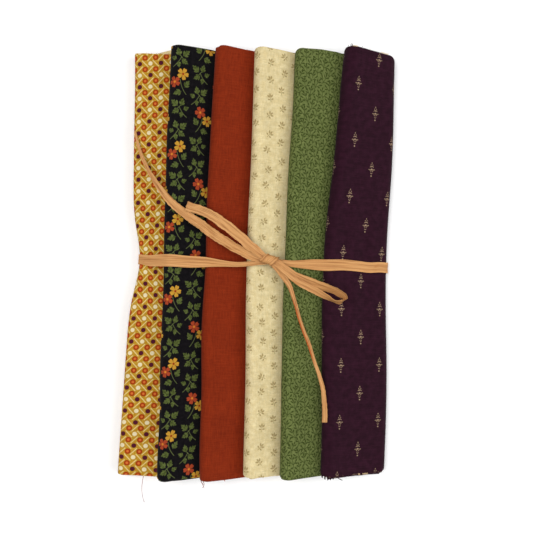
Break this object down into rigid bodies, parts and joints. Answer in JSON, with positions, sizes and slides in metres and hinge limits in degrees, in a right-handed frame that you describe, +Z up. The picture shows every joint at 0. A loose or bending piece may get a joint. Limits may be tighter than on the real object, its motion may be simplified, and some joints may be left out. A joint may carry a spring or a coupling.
{
  "type": "rolled fat quarter bundle",
  "caption": "Coordinated quilting cotton fat quarters, each wound into a flat roll, laid side by side and tied round the middle with a raffia bow.",
  "frame": {"origin": "centre of the bundle's footprint, on the surface that it lies on", "axes": "+X across the rolls from the mustard one to the plum one, +Y along the rolls, +Z up"},
  "size_m": [0.146, 0.2362, 0.0246],
  "materials": {
    "mustard_cloth": "matte printed cotton, gold ground",
    "floral_cloth": "matte printed cotton, black ground",
    "rust_cloth": "matte plain woven cotton",
    "cream_cloth": "matte printed cotton, cream ground",
    "green_cloth": "matte printed cotton, green ground",
    "plum_cloth": "matte printed cotton, plum ground",
    "raffia": "dry natural raffia with a slight sheen along its fibres"
  },
  "bodies": {
    "root": {"roll_mustard": "mustard_cloth", "roll_floral": "floral_cloth", "roll_rust": "rust_cloth", "roll_cream": "cream_cloth", "roll_green": "green_cloth", "roll_plum": "plum_cloth", "raffia_band": "raffia", "raffia_knot": "raffia", "raffia_loop_left": "raffia", "raffia_loop_right": "raffia", "raffia_tail_left": "raffia", "raffia_tail_right": "raffia"}
  },
  "joints": []
}
